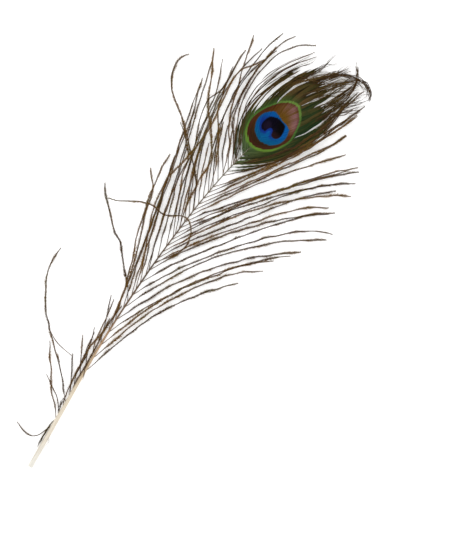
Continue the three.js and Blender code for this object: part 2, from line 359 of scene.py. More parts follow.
fillers = [
    # further barbs of the left side: root y, layer, width, settle, points
    (212, 1.6, 0.5, 0.8, [
        (-10.7, 223.9), (-16.7, 235.4), (-19.7, 244.7), (-20.6, 254.1), (-18.9, 263.9), (-15.6, 273.4),
        (-10.1, 283.8), (-4.8, 292.5)]),
    (213.5, 1.9, 0.5, 0.8, [
        (-9.8, 224.6), (-15.3, 235.8), (-18.3, 244.9), (-19.1, 254), (-17.2, 263.4), (-13.6, 272.4),
        (-8.1, 282.2), (-2.2, 290.6)]),
    (210, 1.5, 1, 0.8, [
        (-11, 219), (-16, 225.5), (-20.5, 232), (-23.5, 240), (-25.5, 250), (-26.5, 266), (-25, 282)]),
    (203, 2.5, 1, 0.8, [
        (-13.5, 217.7), (-18, 224), (-22.7, 231), (-27.7, 243), (-30.5, 252), (-36, 268), (-39.5, 280)]),
    (192, 3.5, 1, 0.8, [(-13.5, 204), (-20.4, 217), (-28, 227.7), (-32, 234), (-37, 250)]),
    (130, 5.5, 0.8, 0.8, [
        (-17, 150), (-24, 173), (-27.5, 190), (-29.6, 205.4), (-35.8, 219), (-39, 232), (-36, 246),
        (-39, 258)]),
    (46, 2.4, 0.9, 0.8, [(-9.5, 53), (-10.8, 60), (-12.2, 70), (-12.3, 77), (-11.4, 86), (-12.5, 96)]),
    (52, 3.2, 0.8, 0.8, [(-9.8, 58), (-11, 66), (-13, 74), (-15.5, 84)]),
    (72, 2.6, 0.8, 0.8, [(-11.5, 80), (-13.5, 88), (-15, 97), (-17, 106.5)]),
    (39, 1.6, 0.8, 0.8, [(-8.2, 46), (-9.9, 55), (-11, 64), (-11.5, 72)]),
    (50, 1.2, 0.9, 0.8, [(-7.9, 60), (-8.9, 70), (-10.2, 80), (-11.2, 90), (-11.4, 98), (-11, 106)]),
]


strayHabit = {
    # the first number of each group's own scatter, and how far its barbs run before they stand free
    "strays": (100, 7),
    "fillers": (150, 9),
    # the low ones are fuzzy nearly to the shaft
    "lowBelow": 80,
    "bareMm": 9.0,
    "bareMmLow": 3.5,
}


def strayStrands():
    out = []
    sidedFillers = [(-1, *filler) for filler in fillers]
    for name, group in (("strays", strays), ("fillers", sidedFillers)):
        first, rise = strayHabit[name]
        for index, (side, rootY, layer, width, settle, points) in enumerate(group, first):
            route = [rootPoint(side, rootY, width * herl["bareShare"])] + points
            bare = strayHabit["bareMm" if rootY > strayHabit["lowBelow"] else "bareMmLow"]
            out.append(herlStrand(index, route, rootY, layer, width, rise, settle, bare))
    return out


# the eye: a fan of barbs from the shaft's end through the eye to the crown
eyeMiddle = (0.5, 244.2)
eyeFan = {
    "count": 97,
    # place across the fan, root y, angle off the shaft, tip x, tip y, heading at the tip
    "keys": [
        (-1.0, 213.5, -55, -5, 290, 27), (-0.85, 215.5, -52, -3, 294, 27), (-0.7, 219.5, -47, 1, 297, 26),
        (-0.5, 227, -42, 6, 300, 28), (-0.3, 236, -37, 12, 299, 29), (-0.15, 243.5, -28, 17, 298, 29),
        (0.0, 252, 0, 22, 297, 28), (0.15, 243.5, 25, 25, 297, 22), (0.3, 236, 34, 27, 295, 15),
        (0.5, 227, 42, 29, 294, 8), (0.7, 218.5, 46, 31, 292, 6), (0.85, 212, 47, 29, 288, 3),
        (1.0, 206, 47, 27, 284, 2)],
    "routeSteps": 60,
    "swing": 1.25,
    # scatter of a barb and of its whole lock, at the tip and in its heading there
    "tipScatter": (0.8, 1.2),
    "tipScatterUp": (3.0, 2.0),
    "tipDrop": 2.5,
    "headingScatter": (4, 7),
    # the heights over which the roots move in to the middle of the thinning shaft
    "mergeSpan": (221, 229),
    "middle": (1.5, 247.0),
    "halfLeft": 22.5,
    "halfRight": 20.0,
    "halfUp": 31.0,
    "halfDown": 28.5,
    "halfDownRight": 21.5,
    "rightSpan": (0, 8),
    # barbs in each lock, from the left edge to the right
    "locks": [4, 4, 3, 4, 4, 3, 4, 4, 4, 4, 5, 3, 5, 4, 3, 5, 4, 3, 4, 5, 3, 4, 5, 3, 4, 4],
    # how far from the eye the slits between locks open, and how much later over the middle barbs
    "slitFrom": 1.16,
    "slitScatter": 0.13,
    "slitLater": 0.18,
    "laterSpan": (25, 75),
    # pull and length of the slits left and right of the eye, and where one turns into the other
    "slitPull": (0.78, 0.42),
    "slitLength": (0.18, 0.4),
    "rightward": (3 / 22, 13 / 22),
    # the place where the vane runs on into the crown with hardly a slit, and how far that reaches
    "fullAt": -0.2,
    "fullSpan": (0.384, 0.064),
    "fullPull": 0.6,
    "fullLater": 0.4,
    # heights between which the slits on the left open later
    "tailSpan": (232, 224),
    "tailLater": 0.6,
    # where a barb's room turns from its neighbours' gap to its own lock's
    "lockSpan": (1.04, 1.18),
    # where the left barbs stand slightly apart: place, distance from the eye and height
    "partPlace": (-0.42, -0.54),
    "partSpan": (1.14, 1.26),
    "partBelow": (269, 260),
    # a barb's half width as a share of its gap, and its limits
    "closedShare": 0.68,
    "partedShare": 0.45,
    "widest": 0.95,
    "narrowest": 0.22,
    "thinnest": 0.1,
    "overlap": 0.05,
    "stacked": 0.18,
    "stackSpan": (1.05, 1.35),
    # over how much openness a ribbon closes up into a free herl, and how unevenly
    "looseOver": 0.32,
    "ragged": 0.1,
    "soonerLeft": 0.12,
    "soonerSpan": (-0.0625, -0.6875),
    "herlBelow": 0.03,
    # shares of the length that a barb may stop short by, and how it ends in a point
    "shortScatter": 0.3,
    "shortLeft": 0.14,
    "shortSpan": (-0.1, -0.6),
    "point": 0.12,
    "pointShare": 0.1,
    # the free herls: half width, barbules, where these grow out, and the thinning at the tip
    "fringeHalf": 0.24,
    "fringeFuzz": 0.9,
    "fringeSpan": (9, 21),
    "fringeTaper": (0.6, 0.2),
    # how much shorter the barbules are on the left
    "sleek": 0.6,
    "sleekSpan": (-0.125, -0.75),
    # the vane's height at its roots, over its swell and in the crown
    "rootHeight": (0.55, 1.05),
    "lift": 1.3,
    "dome": 0.6,
    "crownHeight": (0.9, 0.5),
    "crownSpan": (1, 1.6),
    "shaftTop": 252,
    "rise": 13,
    "stepMm": 1.1,
}
# the bronze egg: how it narrows upward, leans, and lies over the eye's middle
eggShape = {
    "narrowing": 0.014,
    "narrowFrom": 4.0,
    "lean": 0.17,
    "aside": 0.2,
    "lower": 0.55,
    "halfWidth": 12.6,
    "halfHeight": 16.6,
}


def fanPlace(index):
    return 2 * index / (eyeFan["count"] - 1) - 1


def fanKey(place, column):
    keys = [(key[0], key[column]) for key in eyeFan["keys"]]
    for (fromKey, fromValue), (toKey, toValue) in zip(keys, keys[1:]):
        if place <= toKey:
            return mix(fromValue, toValue, (place - fromKey) / (toKey - fromKey))
    return keys[-1][1]


def fanLock(index):
    # the middle barb of the lock that a barb lies in
    first = 0
    for size in eyeFan["locks"]:
        if index < first + size:
            break
        first += size
    return min(eyeFan["count"] - 1, first + size // 2)


def fanRoute(index):
    # from the shaft's end through the vane to a tip in the crown
    place = fanPlace(index)
    lock = fanLock(index)
    side = -1 if place < 0 else 1
    rootY = fanKey(place, 1)
    x, shaftHeading = shaftAt(rootY)
    beside = shaftWidthAt(rootY) / 2 * (1 - eased(rootY, *eyeFan["mergeSpan"]))
    startX = x + side * beside

    def scattered(column, amounts, quality):
        own, shared = amounts
        return fanKey(place, column) + own * uneven(index, quality) + shared * uneven(lock, quality + 10)

    tipX = scattered(3, eyeFan["tipScatter"], 21)
    tipY = scattered(4, eyeFan["tipScatterUp"], 22) - eyeFan["tipDrop"]
    leave = shaftHeading + math.radians(fanKey(place, 2))
    arrive = math.radians(scattered(5, eyeFan["headingScatter"], 23))
    reach = eyeFan["swing"] * math.dist((startX, rootY), (tipX, tipY))
    route = []
    for step in range(eyeFan["routeSteps"] + 1):
        t = step / eyeFan["routeSteps"]
        startPull, endPull = t * (1 - t) ** 2 * reach, t * t * (t - 1) * reach
        endShare = t * t * (3 - 2 * t)
        route.append((
            mix(startX, tipX, endShare) + startPull * math.sin(leave) + endPull * math.sin(arrive),
            mix(rootY, tipY, endShare) + startPull * math.cos(leave) + endPull * math.cos(arrive)))
    return route


def eggShare(x, y):
    # 1 along the outer edge of the eye's bronze egg
    across, up = x - eyeMiddle[0], y - eyeMiddle[1]
    narrowing = 1 + eggShape["narrowing"] * max(0.0, up + eggShape["narrowFrom"])
    leaned = (across - eggShape["lean"] * up) * narrowing - eggShape["aside"]
    raised = up + eggShape["lower"]
    return math.hypot(leaned / eggShape["halfWidth"], raised / eggShape["halfHeight"])


def lockedRoutes():
    # beyond the eye the barbs draw together in locks, with slits of light between them
    routes = [fanRoute(index) for index in range(eyeFan["count"])]
    locked = []
    for index, route in enumerate(routes):
        rightward = eased(index / eyeFan["count"], *eyeFan["rightward"])
        filled = eased(abs(fanPlace(index) - eyeFan["fullAt"]), *eyeFan["fullSpan"])
        slitPull = mix(*eyeFan["slitPull"], rightward) * (1 - eyeFan["fullPull"] * filled)
        slitLength = mix(*eyeFan["slitLength"], rightward)
        slitFrom = (
            eyeFan["slitFrom"] + eyeFan["slitScatter"] * uneven(fanLock(index), 35)
            + eyeFan["slitLater"] * eased(index, *eyeFan["laterSpan"]) + eyeFan["fullLater"] * filled)
        bent = []
        for (x, y), middle in zip(route, routes[fanLock(index)]):
            # low on the left the vane stays closed for longer
            low = eased(y, *eyeFan["tailSpan"]) if x < shaftAt(y)[0] else 0.0
            opens = slitFrom + eyeFan["tailLater"] * low
            pull = slitPull * eased(eggShare(x, y), opens, opens + slitLength)
            bent.append((mix(x, middle[0], pull), mix(y, middle[1], pull)))
        locked.append(bent)
    return locked


def openness(x, y):
    # 0 inside the closed vane, 1 at its edge, more beyond it
    across, up = x - eyeFan["middle"][0], y - eyeFan["middle"][1]
    halfDown = mix(eyeFan["halfDown"], eyeFan["halfDownRight"], eased(across, *eyeFan["rightSpan"]))
    across /= eyeFan["halfLeft"] if across < 0 else eyeFan["halfRight"]
    up /= eyeFan["halfUp"] if up > 0 else halfDown
    return math.hypot(across, up)


def nearestGap(point, path):
    return min(math.dist(point, other) for other in path)


def barbHalf(index, x, y, routes):
    # half the room a barb has between its neighbours, or within its own lock beyond the eye
    beside = [other for other in (index - 1, index + 1) if 0 <= other < len(routes)]
    mates = [other for other in beside if fanLock(other) == fanLock(index)]
    wideGap, lockGap = (
        max(nearestGap((x, y), routes[other]) for other in group) for group in (beside, mates))
    beyond = eggShare(x, y)
    gap = mix(wideGap, lockGap, eased(beyond, *eyeFan["lockSpan"]))
    # below the crown the left barbs stand slightly apart
    parting = (
        eased(fanPlace(index), *eyeFan["partPlace"]) * eased(beyond, *eyeFan["partSpan"])
        * eased(y, *eyeFan["partBelow"]))
    share = mix(eyeFan["closedShare"], eyeFan["partedShare"], parting)
    return min(eyeFan["widest"], max(eyeFan["narrowest"], share * gap))


def fanHeight(index, x, y, share):
    # the vane dips to the shaft and swells a little around the eye
    level = min(y, eyeFan["shaftTop"])
    off = math.hypot(x - shaftAt(level)[0], y - level)
    low = shaftHeightAt(level) * mix(*eyeFan["rootHeight"], eased(level, *eyeFan["mergeSpan"]))
    beyond = openness(x, y)
    domed = eyeFan["lift"] + eyeFan["dome"] * max(0.0, 1 - beyond ** 2)
    height = mix(low, domed, eased(off, 0, eyeFan["rise"]))
    if share > 0.5:
        # the upper half lies at its own height in the crown
        usual, change = eyeFan["crownHeight"]
        height = mix(height, usual + change * uneven(index, 26), eased(beyond, *eyeFan["crownSpan"]))
    # barbs drawn together in a lock lie over one another
    stacked = eyeFan["stacked"] * uneven(index, 47) * eased(eggShare(x, y), *eyeFan["stackSpan"])
    return height + eyeFan["overlap"] * (index % 2) + stacked


def fanStretches(index, routes):
    # a barb's steps, cut where it turns from closed ribbon to free herl
    points, length = evenly(routes[index], eyeFan["stepMm"])
    place = fanPlace(index)
    endShare = (
        1 - eyeFan["shortScatter"] * abs(uneven(index, 36)) ** 1.6
        - eyeFan["shortLeft"] * eased(place, *eyeFan["shortSpan"]))
    # the barbs on the left come free sooner
    looseFrom = (
        1 + eyeFan["ragged"] * (uneven(index, 24) + uneven(fanLock(index), 34))
        - eyeFan["soonerLeft"] * eased(place, *eyeFan["soonerSpan"]))
    tipThin, tipShare = eyeFan["fringeTaper"]
    stretches = []
    for (x, y), share in points:
        if share > endShare:
            break
        closed = 1 - eased(openness(x, y), looseFrom, looseFrom + eyeFan["looseOver"])
        kind = "ribbon" if closed > eyeFan["herlBelow"] else "herl"
        pointed = mix(eyeFan["point"], 1, eased(share, endShare, endShare - eyeFan["pointShare"]))
        if not stretches or stretches[-1][0] != kind:
            stretches.append((kind, stretches[-1][1][-1:] if stretches else []))
        stretches[-1][1].append({
            "place": inRow(x, y, fanHeight(index, x, y, share)),
            "share": share,
            "gone": share * length,
            "half": max(eyeFan["thinnest"], barbHalf(index, x, y, routes) * closed) * pointed,
            "grown": eased(share * length, *eyeFan["fringeSpan"]) * (1 - closed),
            "taper": 1 - tipThin * eased(share, endShare - tipShare, endShare)})
    return [(kind, steps) for kind, steps in stretches if len(steps) > 3]


def ribbonStrand(index, steps):
    return {
        "places": [step["place"] for step in steps],
        "halfWidth": [step["half"] * mm for step in steps],
        "along": [step["share"] for step in steps],
        "tone": [0.5 + 0.5 * uneven(index, 25)] * len(steps),
        "shift": [0.0003 * uneven(index, 27)] * len(steps)}


def fringeStrand(index, steps):
    sleek = 1 - eyeFan["sleek"] * eased(fanPlace(index), *eyeFan["sleekSpan"])

    def fuzz(step, quality):
        waver = 1 + 0.4 * drift(index, quality, step["gone"] / 6)
        return eyeFan["fringeFuzz"] * mix(0.1, 1, step["grown"]) * step["taper"] * sleek * waver * mm

    return {
        "places": [step["place"] for step in steps],
        "halfWidth": [
            eyeFan["fringeHalf"] * mix(0.6, 1, step["grown"]) * step["taper"] * mm for step in steps],
        "fuzzLeft": [fuzz(step, 28) for step in steps],
        "fuzzRight": [fuzz(step, 29) for step in steps],
        "along": [step["share"] for step in steps],
        "tone": [0.5 + 0.5 * uneven(index, 25)] * len(steps),
        "hue": [0.6 + 0.4 * uneven(index, 30)] * len(steps)}


def fanStrands():
    # the closed vane's ribbons, and the open stretches below and beyond it as herls
    routes = lockedRoutes()
    ribbons, herls = [], []
    for index in range(len(routes)):
        for kind, steps in fanStretches(index, routes):
            if kind == "ribbon":
                ribbons.append(ribbonStrand(index, steps))
            else:
                herls.append(fringeStrand(index, steps))
    return ribbons, herls


# twisted locks in the crown, tufts and hairs at the foot
tangles = [
    # strands, spread, half thickness, fuzz, thinning, height, hue, points
    (12, 1.4, 0.15, 0.55, 0.25, 3.2, 0.3, [
        (2, 273), (7, 281), (13, 287.5), (19, 291.5), (25, 294), (30.5, 293.8), (35, 290.8), (38, 285.5)]),
    (8, 1.3, 0.2, 0.5, 0.4, 2.6, 0.3, [
        (24, 272), (26, 281), (26, 289), (23.5, 294.5), (20.5, 298.5), (17.5, 301.5)]),
    (9, 3.6, 0.14, 0.5, 0.75, 2.2, 0.3, [
        (17, 256), (21.5, 265), (25.5, 272.5), (30, 280), (34.5, 286), (38, 292)]),
    (7, 2.8, 0.14, 0.5, 0.75, 1.8, 0.3, [(20, 258), (24.5, 266), (29, 273), (34, 278.5), (38, 284)]),
    (5, 2.0, 0.14, 0.5, 0.75, 1.6, 0.5, [(6, 276), (11, 286), (15, 294), (18, 301)]),
    (2, 0.6, 0.14, 0.35, 0.75, 2.4, 0.3, [(-20.8, 257), (-19.2, 267), (-12, 281.5), (-5.6, 292.5)]),
    (3, 0.8, 0.14, 0.35, 0.75, 2.0, 0.3, [(-19, 256), (-17.8, 265.4), (-8.5, 282.7), (-3.2, 293.5)]),
    (4, 1.0, 0.14, 0.4, 0.75, 1.6, 0.4, [
        (-17.5, 256), (-15.5, 263), (-8.8, 277.5), (-3.2, 286.4), (0, 295)]),
    (3, 0.7, 0.14, 0.4, 0.75, 3.0, 0.2, [(-2, 276), (3.8, 283.5), (4.9, 290), (5.4, 295.4), (7.4, 301.4)]),
    (3, 0.9, 0.14, 0.4, 0.75, 3.2, 0.2, [(-4, 272), (2.5, 282), (4, 289), (9, 293), (11.5, 298)]),
    (11, 2.4, 0.14, 0.6, 0.4, 2.6, 0.4, [
        (1, 262), (5.3, 268), (12.2, 278.7), (20, 287.9), (28, 292.8), (33, 291.5)]),
    (7, 2.4, 0.13, 0.6, 0.5, 2.9, 0.4, [(-9, 262), (-3.5, 270.5), (4, 280.1), (12.6, 288.3), (21, 293)]),
    (9, 3.8, 0.14, 0.5, 0.75, 2.0, 0.3, [(6, 262), (12, 272), (19, 281), (27, 288), (33, 291)]),
    (5, 3.2, 0.14, 0.5, 0.75, 1.8, 0.6, [(-10, 262), (-3, 274), (5, 284), (12, 292)]),
    (6, 3.2, 0.14, 0.5, 0.75, 2.4, 0.4, [(12, 262), (19, 271), (26, 277), (32, 283)]),
    (4, 3.2, 0.14, 0.25, 0.75, 2.6, 0.2, [(-12, 268), (-4, 274), (5, 277), (15, 283), (22, 292)]),
    (14, 0.6, 0.08, 0.5, 0.6, 1.2, 1.0, [(-4.6, 31), (-5.3, 26), (-5.0, 20), (-4.5, 14), (-4.0, 9)]),
    (9, 1.1, 0.09, 0.08, 0.75, 1.0, 0.3, [(-5.0, 32), (-6.6, 36.5), (-7.6, 40), (-7.9, 45)]),
    (3, 1.0, 0.11, 0.3, 0.75, 3.2, 0.0, [(-9, 68.5), (-7.2, 63.5), (-5, 59.5), (-4.4, 56)]),
    (5, 1.3, 0.025, 0.02, 0.75, 1.0, 0.0, [(-2.8, 22), (-0.9, 18), (0.4, 13), (1.2, 7)]),
    (2, 0.25, 0.2, 0.5, 0.2, 1.8, 0.0, [
        (-38.5, 71), (-34.5, 68.8), (-30.5, 67.2), (-26, 66.2), (-20, 65.6), (-16, 65)]),
]


tangleHabit = {
    "firstIndex": 300,
    "indexStep": 20,
    "stepMm": 0.8,
    # shares of the length that a strand may start late or stop short by
    "startScatter": 0.25,
    "endScatter": 0.2,
    # a strand starts thin: its share of the full thickness there, and how soon it fills out
    "startPoint": (0.15, 0.14),
    "thinFrom": 0.5,
    "endHeight": 0.9,
    "heightScatter": 0.5,
    "lowest": 0.3,
}


def bentThrough(index, points, spread):
    # a tangle's route with its points moved about, more toward the tip
    return [
        tuple(value + spread * uneven(index + at * 0.3, quality) * (0.4 + 0.8 * at / len(points))
              for value, quality in zip(point, (42, 43)))
        for at, point in enumerate(points)]


def tangleStrand(index, spread, thick, fuzz, thinning, height, hue, points):
    # one strand of a tangle, arched from end to end
    path, length = evenly(throughPoints(bentThrough(index, points, spread), 8), tangleHabit["stepMm"])
    start = tangleHabit["startScatter"] * abs(uneven(index, 41))
    end = 1 - tangleHabit["endScatter"] * abs(uneven(index, 44))
    path = [entry for entry in path if start <= entry[1] <= end]
    thin, pointShare = tangleHabit["startPoint"]
    arch = height + tangleHabit["heightScatter"] * uneven(index, 45)
    tapers, places = [], []
    for (x, y), share in path:
        thinned = 1 - thinning * eased(share, tangleHabit["thinFrom"], 1)
        tapers.append(thinned * mix(thin, 1, eased(share, start, start + pointShare)))
        lift = mix(tangleHabit["endHeight"], arch, smooth(4 * share * (1 - share)))
        places.append(inRow(x, y, max(tangleHabit["lowest"], lift)))
    return {
        "places": places,
        "halfWidth": [thick * taper * mm for taper in tapers],
        "fuzzLeft": [fuzz * taper * mm for taper in tapers],
        "fuzzRight": [fuzz * taper * mm for taper in tapers],
        "along": [share for place, share in path],
        "tone": [0.5 + 0.5 * uneven(index, 46)] * len(path),
        "hue": [hue] * len(path),
    }


def tangleStrands():
    out = []
    for group, (count, *shape) in enumerate(tangles):
        first = tangleHabit["firstIndex"] + tangleHabit["indexStep"] * group
        out += [tangleStrand(index, *shape) for index in range(first, first + count)]
    return out


# node trees that turn strands into plumage
def nodeAdder(tree):
    # adds a node with its settings, then fills or wires the inputs named
    def add(kind, wires=(), **settings):
        node = tree.nodes.new(kind)
        for name, value in settings.items():
            setattr(node, name, value)
        for socket, value in dict(wires).items():
            target = node.inputs[socket]
            if isinstance(value, bpy.types.NodeSocket):
                tree.links.new(value, target)
            elif isinstance(value, bpy.types.Node):
                tree.links.new(value.outputs[0], target)
            else:
                target.default_value = value
        return node
    return add


def addSockets(tree, direction, sockets):
    for name, kind in sockets:
        tree.interface.new_socket(name=name, in_out=direction, socket_type="NodeSocket" + kind)


def strandValue(add, name):
    return add("GeometryNodeInputNamedAttribute", {"Name": name}, data_type="FLOAT").outputs["Attribute"]


def buildSweepStrands():
    # sweeps an upright outline along every strand, scaled by the strand's halfWidth
    tree = bpy.data.node_groups.new("sweepStrands", "GeometryNodeTree")
    addSockets(tree, "INPUT", [("Strands", "Geometry"), ("Outline", "Object"), ("Surface", "Material")])
    addSockets(tree, "OUTPUT", [("Solid", "Geometry")])
    add = nodeAdder(tree)
    given = add("NodeGroupInput")
    rails = add("GeometryNodeMeshToCurve", {"Mesh": given.outputs["Strands"]})
    upright = add("GeometryNodeSetCurveNormal", {"Curve": rails}, mode="Z_UP")
    distance = add("GeometryNodeSplineParameter").outputs["Length"]
    measured = add("GeometryNodeStoreNamedAttribute", {
        "Geometry": upright, "Name": "distance", "Value": distance}, data_type="FLOAT", domain="POINT")
    outline = add("GeometryNodeObjectInfo", {"Object": given.outputs["Outline"]})
    ring = add("GeometryNodeMeshToCurve", {"Mesh": outline.outputs["Geometry"]})
    swept = add("GeometryNodeCurveToMesh", {
        "Curve": measured, "Profile Curve": ring, "Scale": strandValue(add, "halfWidth"), "Fill Caps": True})
    real = add("GeometryNodeRealizeInstances", {"Geometry": swept})
    surfaced = add("GeometryNodeSetMaterial", {"Geometry": real, "Material": given.outputs["Surface"]})
    add("NodeGroupOutput", {"Solid": surfaced})
    return tree


def buildGrowHerls(sweepStrands):
    # a ramus along every strand, and a row of barbules down each side of it
    tree = bpy.data.node_groups.new("growHerls", "GeometryNodeTree")
    addSockets(tree, "INPUT", [
        ("Strands", "Geometry"), ("Outline", "Object"), ("Barbule", "Object"), ("Spacing", "Float"),
        ("Lean", "Float"), ("Scatter", "Float"), ("Ramus Surface", "Material"),
        ("Barbule Surface", "Material")])
    addSockets(tree, "OUTPUT", [("Herls", "Geometry")])
    add = nodeAdder(tree)
    given = add("NodeGroupInput")
    ramus = add("GeometryNodeGroup", {
        "Strands": given.outputs["Strands"], "Outline": given.outputs["Outline"],
        "Surface": given.outputs["Ramus Surface"]}, node_tree=sweepStrands)
    rails = add("GeometryNodeMeshToCurve", {"Mesh": given.outputs["Strands"]})
    stations = add("GeometryNodeResampleCurve", {
        "Curve": rails, "Length": given.outputs["Spacing"]}, mode="LENGTH")
    blade = add("GeometryNodeObjectInfo", {"Object": given.outputs["Barbule"]}).outputs["Geometry"]
    tangent = add("GeometryNodeInputTangent")
    forward = add("FunctionNodeAxesToRotation", {"Primary Axis": tangent, "Secondary Axis": (0.0, 0.0, 1.0)},
                  primary_axis="Y", secondary_axis="Z")
    joined = add("GeometryNodeJoinGeometry", {"Geometry": ramus})

    def randomBetween(low, high, seed):
        node = add("FunctionNodeRandomValue", {"Seed": seed}, data_type="FLOAT")
        node.inputs[2].default_value = low
        node.inputs[3].default_value = high
        return node.outputs[1]

    for side, fuzz, seed in ((-1, "fuzzLeft", 3), (1, "fuzzRight", 7)):
        spread = add("ShaderNodeMath", {0: given.outputs["Scatter"], 1: randomBetween(-1.0, 1.0, seed)},
                     operation="MULTIPLY")
        lean = add("ShaderNodeMath", {0: given.outputs["Lean"], 1: spread}, operation="ADD")
        yaw = add("ShaderNodeMath", {0: lean, 1: -float(side)}, operation="MULTIPLY")
        turn = add("ShaderNodeCombineXYZ", {"X": randomBetween(*herl["tilt"], seed + 1), "Z": yaw})
        turned = add("FunctionNodeRotateRotation", {
            "Rotation": forward, "Rotate By": add("FunctionNodeEulerToRotation", {"Euler": turn})},
            rotation_space="LOCAL")
        size = add("ShaderNodeMath", {
            0: strandValue(add, fuzz), 1: randomBetween(*herl["sizes"], seed + 2)}, operation="MULTIPLY")
        row = add("GeometryNodeInstanceOnPoints", {
            "Points": stations, "Instance": blade, "Rotation": turned, "Scale": size})
        real = add("GeometryNodeRealizeInstances", {"Geometry": row})
        surfaced = add("GeometryNodeSetMaterial", {
            "Geometry": real, "Material": given.outputs["Barbule Surface"]})
        tree.links.new(surfaced.outputs[0], joined.inputs["Geometry"])
    add("NodeGroupOutput", {"Herls": joined})
    return tree


def strandMesh(name, strands):
    # every strand as a run of edges, with its sizes kept on its points
    places, edges = [], []
    for strand in strands:
        first = len(places)
        places += strand["places"]
        edges += [(at, at + 1) for at in range(first, len(places) - 1)]
    mesh = bpy.data.meshes.new(name)
    mesh.from_pydata(places, edges, [])
    for key in strands[0]:
        if key != "places":
            values = [value for strand in strands for value in strand[key]]
            mesh.attributes.new(key, "FLOAT", "POINT").data.foreach_set("value", values)
    return mesh


def outlineObject(name, corners):
    # an outline of unit half width, listed clockwise; across runs from -1 to 1 over it
    mesh = bpy.data.meshes.new(name)
    edges = [(at, (at + 1) % len(corners)) for at in range(len(corners))]
    mesh.from_pydata([(x, -y, 0.0) for x, y in corners], edges, [])
    mesh.attributes.new("across", "FLOAT", "POINT").data.foreach_set("value", [x for x, y in corners])
    below = [float(y < 0) for x, y in corners]
    mesh.attributes.new("under", "FLOAT", "POINT").data.foreach_set("value", below)
    helper = bpy.data.objects.new(name, mesh)
    bpy.context.scene.collection.objects.link(helper)
    return helper


def grow(name, strands, tree, inputs):
    # runs a tree over the strands and keeps its plain mesh
    piece = bpy.data.objects.new(name, strandMesh(name, strands))
    bpy.context.scene.collection.objects.link(piece)
    growth = piece.modifiers.new(tree.name, "NODES")
    growth.node_group = tree
    sockets = {item.name: item.identifier for item in tree.interface.items_tree if item.in_out == "INPUT"}
    for socket, value in inputs.items():
        growth[sockets[socket]] = value
    bpy.context.view_layer.update()
    evaluated = piece.evaluated_get(bpy.context.evaluated_depsgraph_get())
    grown = bpy.data.meshes.new_from_object(evaluated)
    piece.modifiers.remove(growth)
    piece.data = grown
    grown.name = name
    print("grown", name, len(grown.polygons), "faces")
    return piece


# surfaces
def newSurface(name):
    surface = bpy.data.materials.new(name)
    surface.use_nodes = True
    surface.node_tree.nodes.clear()
    add = nodeAdder(surface.node_tree)
    shader = add("ShaderNodeBsdfPrincipled")
    add("ShaderNodeOutputMaterial", {"Surface": shader.outputs["BSDF"]})
    return surface, add, shader


def calc(add, operation, a, b=0.0, c=0.0):
    return add("ShaderNodeMath", {0: a, 1: b, 2: c}, operation=operation).outputs[0]


def blend(add, amount, low, high, mode="MIX"):
    node = add("ShaderNodeMix", data_type="RGBA", blend_type=mode)
    tree = node.id_data
    for socket, value in ((node.inputs[0], amount), (node.inputs[6], low), (node.inputs[7], high)):
        if isinstance(value, bpy.types.NodeSocket):
            tree.links.new(value, socket)
        else:
            socket.default_value = value
    return node.outputs[2]


def between(add, value, low, high):
    # 0 below low, 1 above high, smooth from one to the other
    node = add("ShaderNodeMapRange", {"Value": value, "From Min": low, "From Max": high},
               interpolation_type="SMOOTHSTEP")
    return node.outputs[0]


def ramp(add, value, stops):
    node = add("ShaderNodeValToRGB", {"Fac": value})
    elements = node.color_ramp.elements
    elements[0].position, elements[0].color = stops[0]
    elements[1].position, elements[1].color = stops[-1]
    for position, colour in stops[1:-1]:
        elements.new(position).color = colour
    return node.outputs["Color"]


def strandFact(add, name):
    return add("ShaderNodeAttribute", attribute_name=name).outputs["Fac"]


def buildFeatherGrain():
    # uneven tone of grown horn: fine streaks along a strand with broad patches over them
    tree = bpy.data.node_groups.new("featherGrain", "ShaderNodeTree")
    addSockets(tree, "INPUT", [("Streak Size", "Float"), ("Patch Size", "Float")])
    addSockets(tree, "OUTPUT", [("Tone", "Float"), ("Fine", "Float")])
    add = nodeAdder(tree)
    given = add("NodeGroupInput")
    place = add("ShaderNodeTexCoord").outputs["Object"]
    patches = add("ShaderNodeTexNoise", {
        "Vector": place, "Scale": given.outputs["Patch Size"], "Detail": 3.0}).outputs["Fac"]
    streaks = add("ShaderNodeTexNoise", {
        "Vector": place, "Scale": given.outputs["Streak Size"], "Detail": 2.0}).outputs["Fac"]
    tone = calc(add, "MULTIPLY_ADD", streaks, 0.4, calc(add, "MULTIPLY", patches, 0.6))
    add("NodeGroupOutput", {"Tone": tone, "Fine": streaks})
    return tree


eyeMarks = {
    # ovals: middle x and y, half width and half height, in millimetres from the eye's middle
    "egg": (0.35, -0.55, 12.8, 16.7),
    "pool": (0.0, -2.8, 10.1, 10.0),
    "dome": (0.4, -0.9, 6.5, 5.1),
    "leftLobe": (-3.2, -2.8, 3.2, 3.6),
    "rightLobe": (3.7, -3.2, 3.4, 3.7),
    "notch": (-0.2, -7.4, 2.1, 4.4),
    # the slanting line that cuts the blue pool off above: its slope and height
    "lid": (0.355, 5.5),
    # edges, where an oval's own edge is 1
    "vaneEdge": (1.05, 1.12),
    "greenEdge": (0.975, 1.015),
    "blueEdge": (1.03, 0.96),
    "heartEdge": (1.08, 0.92),
    "lobeEdge": (1.1, 0.4),
    # how far the markings waver from barb to barb, in millimetres, and how much of it sideways
    "flutter": 0.8,
    "flutterAcross": 0.3,
}


